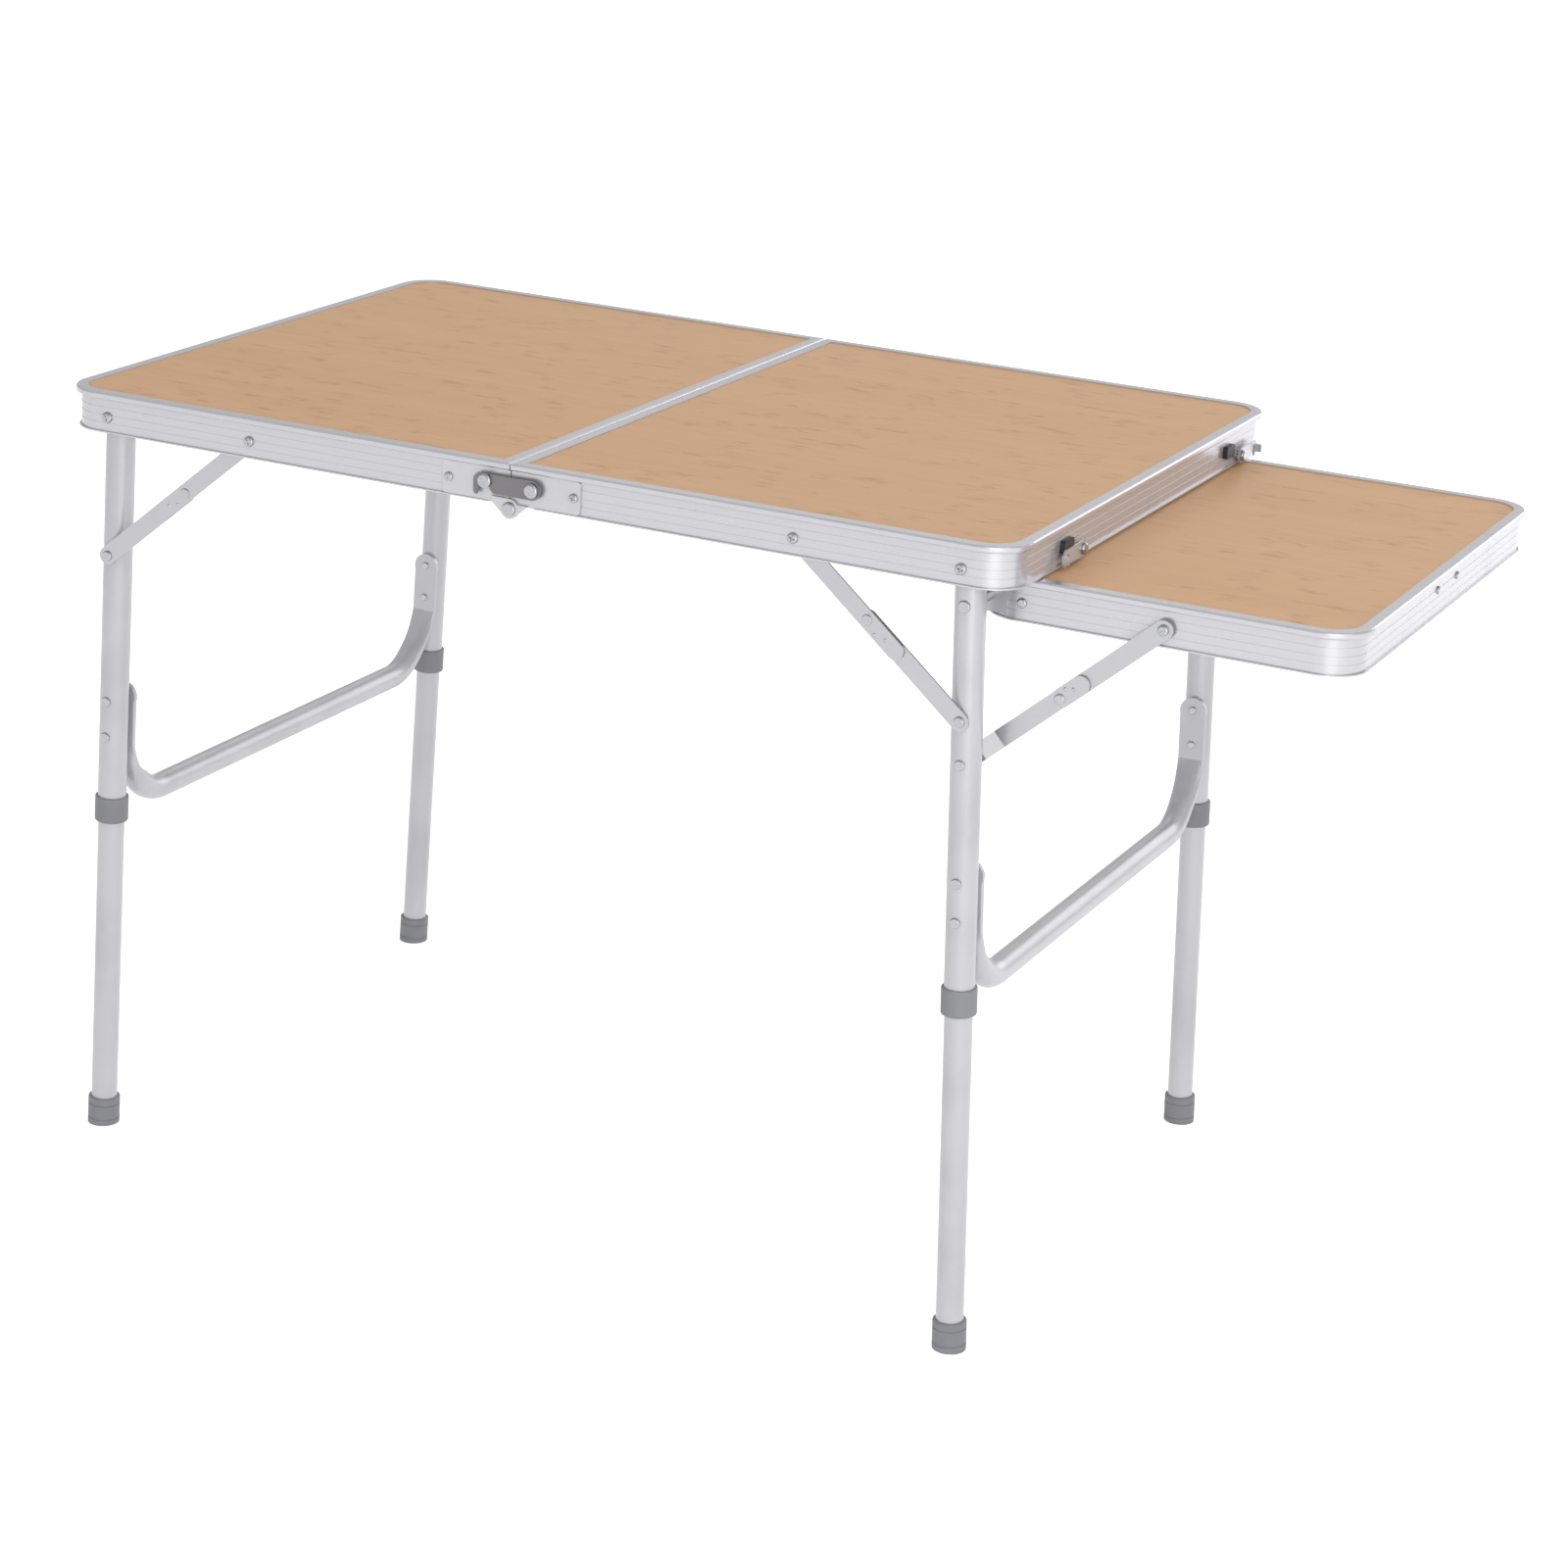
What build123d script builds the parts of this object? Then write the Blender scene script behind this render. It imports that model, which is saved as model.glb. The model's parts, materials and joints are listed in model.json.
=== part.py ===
from build123d import *
import math
import os

# Folding camping table with a side leaf, in millimetres.
# The table is drawn with x from its left end, y from its front edge and z from the floor,
# and moved at the end so that the origin is under the middle of the whole object.

# Driving dimensions
table_length = 900.0
table_width = 600.0
table_height = 700.0
leaf_top = 663.0
leaf_front = 55.0
leaf_inner_end = 843.0
leaf_outer_end = 1163.0
origin_x = 577.5
half_gap = 0.5

# Edge rail section: u runs inwards from the outer edge of the lip
rail_height = 36.0
lip_width = 10.5
lip_thick = 6.0
lip_round = 1.8
rail_wall = 1.2
web_face = 4.5
flare_face = 2.5
ledge_width = 11.0
board_sink = 1.2
board_thick = 4.0
corner_radius = 36.0
groove_depth = 0.3
groove_height = 1.6
groove_levels = (-12.0, -19.0, -26.0)

# Legs
leg_lean = math.degrees(math.atan(28.0 / table_height))
pivot_drop = 22.5
foot_inset = 20.0
leg_inset = 25.5
upper_tube_r = 12.8
upper_tube_bore = 11.9
lower_tube_r = 11.8
lower_tube_bore = 10.8
tube_top = 7.0
collar_top = 323.5
collar_bottom = 300.0
collar_r = 15.0
lower_tube_top = 374.0
foot_height = 26.5
foot_r = 14.5
crossbar_r = 11.5
crossbar_level = 311.0
crossbar_bend = 52.0
crossbar_flat_top = 427.0
crossbar_flat_bottom = 368.0
crossbar_flat_thick = 4.0
crossbar_rivets = (415.0, 381.5)
crossbar_round_at = 45.0

# Folding braces under the main top
strap_width = 15.4
strap_thick = 1.8
brace_on_leg = 126.0
brace_rail_x = 193.0
brace_rail_z = 678.5
upper_link_face = 6.9
lower_link_face = 9.1
long_link_share = 0.5533
tongue_length = 33.0

# Side leaf hinge and braces
leaf_pivot_z = 645.0
leaf_brace_z = 514.6
leaf_screw_x = 884.0
leaf_screw_z = 642.0
leaf_brace_x = 1005.0
leaf_brace_rail_z = 642.0
leaf_lower_length = 86.5
leaf_upper_face = 54.4
leaf_lower_face = 52.2
leaf_plate_face = leaf_front + web_face + rail_wall + 0.05
end_screw_spots = (274.0, 327.0)
end_screw_z = 649.0

# Centre hinge, lock bars and end catches
hinge_z = 661.6
plate_top = 693.6
plate_bottom = 665.7
plate_reach = 65.0
plate_thick = 2.0
lug_r = 8.5
lug_half = 17.0
lock_half = 8.2
lock_pivot = (472.0, 681.0)
lock_stud = (428.0, 683.0)
catch_spots = (138.0, 516.0)
catch_z = 672.0
strike_z = 682.6
catch_reach = catch_z + strike_z - 2 * 661.6
bumper_spots = (113.0, 493.0)
plate_screw = (391.0, 679.6)
bar_face = -2.3
bar_thick = 2.0

# Carrying handle
handle_pivot_x = -2.0
handle_pivot_z = 686.0
handle_reach = 52.0
handle_drop = 15.0
handle_pin_r = 2.2

middle = table_length / 2
nodes = {}


def add(name, *shapes):
    """File solids under the name of their node."""
    solids = nodes.setdefault(name, [])
    for shape in shapes:
        solids.extend(shape.solids())


def left_to_right(shape):
    """The same piece on the other half of the table."""
    return mirror(shape, about=Plane.YZ.offset(middle))


def front_to_back(shape):
    """The same piece on the back side."""
    return mirror(shape, about=Plane.XZ.offset(-table_width / 2))


def along_y(x, z, y0, y1, radius):
    """A round bar along y."""
    bar = Cylinder(radius, y1 - y0, align=(Align.CENTER, Align.CENTER, Align.MIN))
    return Pos(x, y0, z) * Rot(-90, 0, 0) * bar


def along_x(y, z, x0, x1, radius):
    """A round bar along x."""
    bar = Cylinder(radius, x1 - x0, align=(Align.CENTER, Align.CENTER, Align.MIN))
    return Pos(x0, y, z) * Rot(0, 90, 0) * bar


def block(x0, x1, y0, y1, z0, z1):
    """A box between two corners."""
    solid = Box(x1 - x0, y1 - y0, z1 - z0, align=(Align.MIN, Align.MIN, Align.MIN))
    return Pos(x0, y0, z0) * solid


def plate_xz(points, y0, y1):
    """A flat plate with its outline in the xz plane."""
    outline = Polyline(*[(x, y0, z) for x, z in points], close=True)
    return extrude(make_face(outline), amount=y1 - y0, dir=(0, 1, 0))


def plate_xy(points, z0, z1):
    """A flat plate with its outline in the xy plane."""
    outline = Polyline(*[(x, y, z0) for x, y in points], close=True)
    return extrude(make_face(outline), amount=z1 - z0, dir=(0, 0, 1))


def dome_screw(x, z, face, tip, head_r=4.4, head_h=2.4, shank_r=1.9):
    """A pan head screw along y with its head on the front of a face."""
    head = Pos(x, face, z) * Rot(90, 0, 0) * cross_head(head_r, head_h)
    return head + along_y(x, z, face - 0.5, tip, shank_r)


def pan_head(radius, height):
    """A pan head standing on z = 0."""
    head = Cylinder(radius, height, align=(Align.CENTER, Align.CENTER, Align.MIN))
    return fillet(head.edges().group_by(Axis.Z)[-1], 0.68 * height)


def cross_head(radius, height):
    """A pan head with a cross recess for the driver."""
    head = pan_head(radius, height)
    depth = 0.55 * height
    for turn in (20, 110):
        slot = Box(1.15 * radius, 0.27 * radius, depth, align=(Align.CENTER, Align.CENTER, Align.MIN))
        head -= Pos(0, 0, height - depth) * Rot(0, 0, turn) * slot
    return head


# Edge rails


def rail_outline(height=rail_height):
    """The rail's section as (u, z) corners: flat lip, grooved web, flared foot and board channel."""
    r = lip_round
    channel = web_face + rail_wall + 0.4
    points = [(r, 0), (lip_width, 0), (lip_width, -board_sink), (channel, -board_sink)]
    ledge = -board_sink - board_thick - 0.2
    points += [(channel, ledge), (ledge_width, ledge), (ledge_width, ledge - rail_wall)]
    points += [(web_face + rail_wall, ledge - rail_wall), (web_face + rail_wall, -height)]
    points += [(flare_face, -height), (flare_face, -height + rail_wall)]
    points += [(web_face, -height + rail_wall)]
    for level in reversed(groove_levels):
        points += [(web_face, level - groove_height), (web_face + groove_depth, level - groove_height)]
        points += [(web_face + groove_depth, level), (web_face, level)]
    points += [(web_face, -lip_thick), (r, -lip_thick)]
    return points


def rail_section(plane):
    """The rail's section as a face on a plane whose x is u and whose y is z."""
    r = lip_round
    near = r * (1 - math.sqrt(0.5))
    points = rail_outline()
    edges = [Line(a, b) for a, b in zip(points, points[1:])]
    edges.append(ThreePointArc((r, -lip_thick), (near, -lip_thick + near), (0, -lip_thick + r)))
    edges.append(Line((0, -lip_thick + r), (0, -r)))
    edges.append(ThreePointArc((0, -r), (near, -near), (r, 0)))
    return plane * make_face(edges)


def front_run(x0, x1, y, top):
    """A straight rail along x on the front side."""
    plane = Plane(origin=(x0, y, top), x_dir=(0, 1, 0), z_dir=(1, 0, 0))
    return extrude(rail_section(plane), amount=x1 - x0, dir=(1, 0, 0))


def left_run(y0, y1, x, top):
    """A straight rail along y that faces left."""
    plane = Plane(origin=(x, y0, top), x_dir=(1, 0, 0), z_dir=(0, -1, 0))
    return extrude(rail_section(plane), amount=y1 - y0, dir=(0, 1, 0))


def front_left_bend(x, y, top):
    """A quarter bend that joins a left run to a front run."""
    centre = (x + corner_radius, y + corner_radius, top)
    plane = Plane(origin=(x, centre[1], top), x_dir=(1, 0, 0), z_dir=(0, -1, 0))
    return revolve(rail_section(plane), Axis(centre, (0, 0, 1)), 90)


def main_rail():
    """The left half's rail, bent from one length round the front, the end and the back."""
    end = middle - half_gap
    front = front_run(corner_radius, end, 0, table_height)
    bend = front_left_bend(0, 0, table_height)
    side = left_run(corner_radius, table_width - corner_radius, 0, table_height)
    rail = front + bend + side + front_to_back(bend) + front_to_back(front)
    rail -= centre_wedge(0.0)
    return rail


def centre_wedge(inset):
    """The plan wedge behind the mitres of the centre rail, shrunk by an inset."""
    edge = middle - half_gap
    half = table_width / 2
    points = [(edge + 1, inset - 1), (edge + 1, table_width + 1 - inset)]
    points += [(edge - half + inset, half)]
    return plate_xy(points, table_height - rail_height - 2, table_height + 2)


def centre_rail():
    """The straight rail along the inner edge of the left half, mitred at both ends."""
    edge = middle - half_gap
    run = mirror(left_run(0, table_width, 0, table_height), about=Plane.YZ)
    run = Pos(edge, 0, 0) * run
    return run & centre_wedge(0.1)


def notch_for_lug(rail):
    """Clear the foot of a rail where the hinge lugs pass in front of it."""
    for y0 in (-1.0, table_width - web_face):
        y1 = y0 + web_face + 1
        rail -= block(middle - 22, middle + 22, y0, y1, 600, plate_bottom - 0.1)
    return rail


def drill_front(rail, holes):
    """Drill matching holes through the front and back webs."""
    for x, z, radius in holes:
        rail -= along_y(x, z, -1, 20, radius)
        rail -= along_y(x, z, table_width - 20, table_width + 1, radius)
    return rail


def drill_end(rail, holes):
    """Drill holes along x through a left end web."""
    for y, z, radius in holes:
        rail -= along_x(y, z, -1, 20, radius)
    return rail


def board(x0, x1, y0, y1, top, radius, square_end=None):
    """A thin board with rounded corners, or square ones along one end."""
    solid = block(x0, x1, y0, y1, top - board_thick, top)
    edges = solid.edges().filter_by(Axis.Z)
    if square_end is not None:
        edges = [e for e in edges if abs(e.center().X - square_end) > 1]
    return fillet(edges, radius)


def make_tops():
    """Both boards with their bent rails and centre rails."""
    inset = web_face + rail_wall + 0.7
    end = middle - half_gap - inset
    top = table_height - board_sink
    radius = corner_radius - inset
    panel = board(inset, end, inset, table_width - inset, top, radius, square_end=end)
    plain = notch_for_lug(main_rail())
    plain = drill_front(plain, rail_holes())
    cross = notch_for_lug(centre_rail())
    stud_x, stud_z = lock_stud
    left = drill_front(plain, [(stud_x, stud_z, 3.02)])
    left = drill_end(left, [(y, strike_z, 2.62) for y in catch_spots])
    pivot_x, lock_z = lock_pivot
    right = drill_front(plain, [(2 * middle - pivot_x, lock_z, 3.02)])
    right = drill_end(right, [(y, catch_z, 2.42) for y in catch_spots])
    add("left_board", panel)
    add("left_frame_rail", left)
    add("left_centre_rail", cross)
    add("right_board", left_to_right(panel))
    add("right_frame_rail", left_to_right(right))
    add("right_centre_rail", left_to_right(cross))


def rail_holes():
    """The screw holes that both long rails share: leg pivot, brace pivot and hinge plate."""
    x, z = pivot_point()
    return [(x, z, 3.02), (brace_rail_x, brace_rail_z, 2.52), (*plate_screw, 1.82)]


def make_leaf_top():
    """The side leaf: its board and the closed rail bent round it."""
    back = table_width - leaf_front
    bends = leaf_front + corner_radius, back - corner_radius
    ends = leaf_inner_end + corner_radius, leaf_outer_end - corner_radius
    centre = (leaf_inner_end + leaf_outer_end) / 2
    across = Plane.YZ.offset(centre)
    front = front_run(ends[0], ends[1], leaf_front, leaf_top)
    bend = front_left_bend(leaf_inner_end, leaf_front, leaf_top)
    side = left_run(bends[0], bends[1], leaf_inner_end, leaf_top)
    corners = bend + front_to_back(bend)
    ring = front + front_to_back(front) + side + mirror(side, about=across)
    ring = ring + corners + mirror(corners, about=across)
    seam = block(leaf_outer_end - 20, leaf_outer_end + 1, 419, 419.4, 600, leaf_top + 1)
    ring -= seam
    for x, z, radius in ((leaf_screw_x, leaf_screw_z, 1.92), (leaf_brace_x, leaf_brace_rail_z, 2.62)):
        ring -= along_y(x, z, leaf_front - 1, leaf_front + 20, radius)
        ring -= along_y(x, z, back - 20, back + 1, radius)
    for y in end_screw_spots:
        ring -= along_x(y, end_screw_z, leaf_outer_end - 20, leaf_outer_end + 1, 1.62)
    slot = leaf_arm_slot()
    ring -= slot + front_to_back(slot)
    add("leaf_frame_rail", ring)
    inset = web_face + rail_wall + 0.7
    top = leaf_top - board_sink
    x0, x1 = leaf_inner_end + inset, leaf_outer_end - inset
    panel = board(x0, x1, leaf_front + inset, back - inset, top, corner_radius - inset)
    add("leaf_board", panel)


# Legs


def pivot_point():
    """The left leg pivot in x and z."""
    z = table_height - pivot_drop
    return foot_inset + z * math.tan(math.radians(leg_lean)), z


def leg_x(z):
    """Where the left leg's axis is at a height."""
    return foot_inset + z * math.tan(math.radians(leg_lean))


def lean(shape, y=leg_inset):
    """Set a piece drawn down from the pivot, along -z from the origin, onto the left leg."""
    x, z = pivot_point()
    return Pos(x, y, z) * Rot(0, leg_lean, 0) * shape


def down_leg(z):
    """The distance along the leg from its pivot to a height."""
    return (table_height - pivot_drop - z) / math.cos(math.radians(leg_lean))


def bar_down(s0, s1, radius):
    """A round bar from s0 to s1 down the leg."""
    bar = Cylinder(radius, s1 - s0, align=(Align.CENTER, Align.CENTER, Align.MAX))
    return Pos(0, 0, -s0) * bar


def upper_tube(right):
    """A left front upper leg tube with the holes for its bolts and rivets."""
    bottom = down_leg(collar_bottom + 3)
    tube = bar_down(-tube_top, bottom, upper_tube_r) - bar_down(-tube_top - 1, bottom + 1, upper_tube_bore)
    drills = [(0.0, 3.1), (brace_on_leg, 2.6)]
    drills += [(down_leg(z), 2.6) for z in crossbar_rivets]
    if right:
        drills += [(down_leg(leaf_pivot_z), 3.1), (down_leg(leaf_brace_z), 2.6)]
    for s, radius in drills:
        tube -= Pos(0, -20, -s) * Rot(-90, 0, 0) * Cylinder(radius, 80)
    return lean(tube)


def collar():
    """The plastic collar round the foot of an upper tube, stepped in to the lower tube."""
    top, bottom = down_leg(collar_top), down_leg(collar_bottom)
    ring = bar_down(top, bottom, collar_r)
    ring = fillet(ring.edges().filter_by(GeomType.CIRCLE), 1.2)
    ring -= bar_down(top - 1, bottom - 2.8, upper_tube_r + 0.02)
    ring -= bar_down(top, bottom + 1, lower_tube_r + 0.1)
    return lean(ring)


def lower_tube():
    """The lower leg, a plain tube that plugs into the upper one."""
    top, bottom = down_leg(lower_tube_top), down_leg(3.0)
    tube = bar_down(top, bottom, lower_tube_r) - bar_down(top - 1, bottom + 1, lower_tube_bore)
    return lean(tube)


def foot():
    """The ribbed plastic foot cap, flat on the floor."""
    top, bottom = down_leg(foot_height), down_leg(-1.5)
    cap = bar_down(top, bottom, foot_r)
    cap = fillet(cap.edges().group_by(Axis.Z)[-1], 1.5)
    for s in (top + 6, top + 20):
        ring = bar_down(s, s + 1.2, foot_r + 1) - bar_down(s, s + 1.2, foot_r - 0.5)
        cap -= ring
    cap -= bar_down(top - 1, down_leg(3.0), lower_tube_r + 0.02)
    cap = lean(cap)
    cap -= block(-50, 100, -20, 80, -10, 0)
    return cap


def bend_point(angle):
    """A point on the crossbar's bend in y and z, at an angle from where the bend starts."""
    start_y = leg_inset + upper_tube_r + 0.05 + crossbar_r
    start_s = down_leg(crossbar_level) - crossbar_bend
    turn = math.radians(angle)
    return start_y + crossbar_bend * (1 - math.cos(turn)), -start_s - crossbar_bend * math.sin(turn)


def bend_plane(angle, shift=0.0):
    """The plane across the crossbar's bend at an angle, moved outwards by a shift."""
    y, z = bend_point(angle)
    turn = math.radians(angle)
    along = (0, math.sin(turn), -math.cos(turn))
    out = (0, -math.cos(turn), -math.sin(turn))
    return Plane(origin=(0, y + shift * out[1], z + shift * out[2]), x_dir=(1, 0, 0), z_dir=along)


def crossbar():
    """The U shaped bar between a pair of legs, flattened where it is riveted to them."""
    face = leg_inset + upper_tube_r + 0.05
    x, z = pivot_point()
    first, last = bend_point(crossbar_round_at), bend_point(90)
    centre = bend_point((crossbar_round_at + 90) / 2)
    arc = ThreePointArc((0, *first), (0, *centre), (0, *last))
    route = Wire([arc, Line((0, *last), (0, table_width / 2, last[1]))])
    tube = sweep(bend_plane(crossbar_round_at) * Circle(crossbar_r), path=route)
    half = tube + flattened_end(face)
    half = Pos(x, 0, z) * Rot(0, leg_lean, 0) * half
    return half + front_to_back(half)


def flattened_end(face):
    """The end of the crossbar, pressed flat against the leg and swelling to the round tube."""
    wide = crossbar_r * 1.1
    flat_mid = face + crossbar_flat_thick / 2
    top, s_flat = down_leg(crossbar_flat_top), down_leg(crossbar_flat_bottom)
    flat = Plane(origin=(0, flat_mid, -s_flat), x_dir=(1, 0, 0), z_dir=(0, 0, -1))
    pressed = flat * RectangleRounded(2 * wide, crossbar_flat_thick, 1.5)
    half_way = bend_plane(crossbar_round_at / 2, 2.6) * Ellipse(1.06 * crossbar_r, 0.66 * crossbar_r)
    swell = loft([pressed, half_way, bend_plane(crossbar_round_at) * Circle(crossbar_r)])
    tongue = extrude(pressed, amount=-(s_flat - top - wide))
    tip = Pos(0, face, -top - wide) * Rot(-90, 0, 0)
    tip = tip * Cylinder(wide, crossbar_flat_thick, align=(Align.CENTER, Align.CENTER, Align.MIN))
    end = swell + tongue + tip
    for z in crossbar_rivets:
        end -= Pos(0, face, -down_leg(z)) * Rot(-90, 0, 0) * Cylinder(2.6, 30)
    return end


def leg_rivet(s, y0, y1, shank_r=2.5, head_r=4.6, head_h=1.5, tail_r=3.6, tail_h=1.4):
    """A rivet along y through a leg at distance s, with a domed head in front and a tail behind."""
    head = Pos(0, y0, -s) * Rot(90, 0, 0) * pan_head(head_r, head_h)
    shank = Pos(0, y0 - 0.5, -s) * Rot(-90, 0, 0)
    shank = shank * Cylinder(shank_r, y1 - y0 + 1, align=(Align.CENTER, Align.CENTER, Align.MIN))
    tail = Pos(0, y1, -s) * Rot(-90, 0, 0) * pan_head(tail_r, tail_h)
    return lean(head + shank + tail, y=0)


def spacer(s, y0, y1, radius=4.2):
    """A round spacer along y at distance s down the leg."""
    ring = Cylinder(radius, y1 - y0, align=(Align.CENTER, Align.CENTER, Align.MIN))
    return Pos(0, y0, -s) * Rot(-90, 0, 0) * ring


def make_legs():
    """Both leg frames: tubes, crossbar, collars, rivets, and the plug-in lower legs."""
    outer = leg_inset - upper_tube_r
    inner = leg_inset + upper_tube_r
    bar_back = inner + crossbar_flat_thick + 0.1
    rivets = [leg_rivet(down_leg(z), outer, bar_back) for z in crossbar_rivets]
    brace_rivet = leg_rivet(brace_on_leg, lower_link_face - 0.1, inner, head_r=4.6, head_h=1.7)
    brace_rivet += lean(spacer(brace_on_leg, lower_link_face + strap_thick + 0.1, outer), y=0)
    tubes = {"left": upper_tube(False), "right": upper_tube(True)}
    for side in ("left", "right"):
        turn = left_to_right if side == "right" else (lambda shape: shape)
        for end, place in (("front", lambda s: s), ("back", front_to_back)):
            add(f"{side}_{end}_upper_leg", place(turn(tubes[side])))
            add(f"{side}_{end}_lower_leg", place(turn(lower_tube())))
            add(f"{side}_{end}_foot", place(turn(foot())))
            add(f"{side}_leg_collars", place(turn(collar())))
            for rivet in [*rivets, brace_rivet]:
                add(f"{side}_leg_rivets", place(turn(rivet)))
        add(f"{side}_crossbar", turn(crossbar()))


# Folding braces


def link(p, q, y0, width, extra=0.0, holes=()):
    """A flat strap from p to q in the xz plane, round at both ends, running extra past q."""
    dx, dz = q[0] - p[0], q[1] - p[1]
    length = math.hypot(dx, dz)
    turn = -math.degrees(math.atan2(dz, dx))
    span = length + extra
    bar = block(0, span, y0, y0 + strap_thick, -width / 2, width / 2)
    bar += along_y(0, 0, y0, y0 + strap_thick, width / 2)
    bar += along_y(span, 0, y0, y0 + strap_thick, width / 2)
    for at, radius in holes:
        bar -= along_y(at * length, 0, y0 - 1, y0 + strap_thick + 1, radius)
    return Pos(p[0], 0, p[1]) * Rot(0, turn, 0) * bar


def dimple(p, q, past, side, y0):
    """A shallow pressed dimple on the front of a tongue, past the point q."""
    length = math.hypot(q[0] - p[0], q[1] - p[1])
    ux, uz = (q[0] - p[0]) / length, (q[1] - p[1]) / length
    x = q[0] + ux * past - uz * side
    z = q[1] + uz * past + ux * side
    return Pos(x, y0 - 0.3, z) * Rot(90, 0, 0) * Cone(1.9, 1.2, 0.8)


def brace_points():
    """The left brace's pivots: on the leg, in the middle and on the rail."""
    x, z = pivot_point()
    a = math.radians(leg_lean)
    on_leg = (x - brace_on_leg * math.sin(a), z - brace_on_leg * math.cos(a))
    on_rail = (brace_rail_x, brace_rail_z)
    mid = tuple(a + (b - a) * long_link_share for a, b in zip(on_leg, on_rail))
    return on_leg, mid, on_rail


def make_braces():
    """The four folding braces: an upper link with a tongue, a lower link and their rivets."""
    on_leg, mid, on_rail = brace_points()
    f0, f1 = upper_link_face, lower_link_face
    upper = link(on_rail, mid, f0, strap_width, tongue_length, [(0.0, 2.56), (1.0, 2.1)])
    upper += dimple(on_rail, mid, 13, 4.0, f0) + dimple(on_rail, mid, 22, 0.0, f0)
    lower = link(on_leg, mid, f1, strap_width + 0.6, 0, [(0.0, 2.56)])
    lower += along_y(*mid, f1 + strap_thick - 0.2, f1 + strap_thick + 0.8, 3.4)
    rivet = Pos(mid[0], f0, mid[1]) * Rot(90, 0, 0) * pan_head(4.5, 1.1)
    rivet += along_y(*mid, f0 - 0.5, f1 - 0.1, 2.05)
    for side, turn in (("left", lambda s: s), ("right", left_to_right)):
        for end, place in (("front", lambda s: s), ("back", front_to_back)):
            add(f"{side}_{end}_brace_upper_link", place(turn(upper)))
            add(f"{side}_{end}_brace_lower_link", place(turn(lower)))
            add(f"{side}_{end}_brace_rivet", place(turn(rivet)))


# Side leaf hinge and braces


def right_x(z):
    """Where the right leg's axis is at a height."""
    return table_length - leg_x(z)


def leaf_points():
    """The leaf brace's pivots: on the leg, in the middle and on the leaf."""
    on_leg = (right_x(leaf_brace_z), leaf_brace_z)
    on_leaf = (leaf_brace_x, leaf_brace_rail_z)
    length = math.dist(on_leg, on_leaf)
    share = leaf_lower_length / length
    mid = tuple(a + (b - a) * share for a, b in zip(on_leg, on_leaf))
    return on_leg, mid, on_leaf


def joggled_link(p, q, width, extra):
    """The leaf's lower link: flat on the leg at p, bent out to its own plane, with a tongue past q."""
    length = math.dist(p, q)
    turn = -math.degrees(math.atan2(q[1] - p[1], q[0] - p[0]))
    near = leg_inset + upper_tube_r + 0.5
    far = leaf_lower_face
    t = strap_thick
    side = [(-width / 2, near), (9, near), (22, far), (length + extra, far)]
    back = [(x, y + t) for x, y in reversed(side)]
    outline = Polyline(*[(x, y, 0) for x, y in side + back], close=True)
    strap = extrude(make_face(outline), amount=width / 2, both=True)
    strap += along_y(length + extra, 0, far, far + t, width / 2)
    keep = block(0, 400, 0, 100, -width / 2, width / 2) + along_y(0, 0, 0, 100, width / 2)
    strap = strap & keep
    strap -= along_y(0, 0, 0, 100, 2.6)
    return Pos(p[0], 0, p[1]) * Rot(0, turn, 0) * strap


def make_leaf_braces():
    """The two braces that hold the leaf level."""
    on_leg, mid, on_leaf = leaf_points()
    f0, f1 = leaf_lower_face, leaf_upper_face
    lower = joggled_link(on_leg, mid, strap_width, 22)
    lower += dimple(on_leg, mid, 9, 4.0, f0) + dimple(on_leg, mid, 15, 0.0, f0)
    lower += Pos(mid[0], f0, mid[1]) * Rot(90, 0, 0) * pan_head(4.5, 1.8)
    upper = link(on_leaf, mid, f1, strap_width + 0.6, 0, [(0.0, 2.66)])
    upper += along_y(*mid, f1 + strap_thick - 0.2, f1 + strap_thick + 0.7, 3.4)
    for end, place in (("front", lambda s: s), ("back", front_to_back)):
        add(f"leaf_{end}_brace_lower_link", place(lower))
        add(f"leaf_{end}_brace_upper_link", place(upper))


def leaf_arm_levels():
    """The bottom and top of the plate that carries the leaf on its pivot."""
    return leaf_top - rail_height + 3.4, leaf_top - lip_thick - 1.8


def leaf_arm_slot():
    """The slot in the leaf's front corner bend that lets the hinge plate out."""
    low, high = leaf_arm_levels()
    y0, y1 = leaf_plate_face - 0.2, leaf_plate_face + plate_thick + 0.2
    return block(leaf_inner_end, leaf_inner_end + corner_radius, y0, y1, low - 0.4, high + 0.4)


def leaf_hinge_arm(x, z, face):
    """The plate that carries the leaf on its pivot: flat behind the web, round at the pivot end."""
    low, high = leaf_arm_levels()
    end = leaf_screw_x + 9.0
    radius = (high - low) / 2
    arm = block(x, end, face, face + plate_thick, low, high)
    arm = fillet(arm.edges().filter_by(Axis.Y).group_by(Axis.X)[-1], 2.5)
    arm += along_y(x, (low + high) / 2, face, face + plate_thick, radius)
    arm -= along_y(x, z, face - 1, face + 9, 3.06)
    return arm - along_y(leaf_screw_x, leaf_screw_z, face - 1, face + 9, 1.92)


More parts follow.
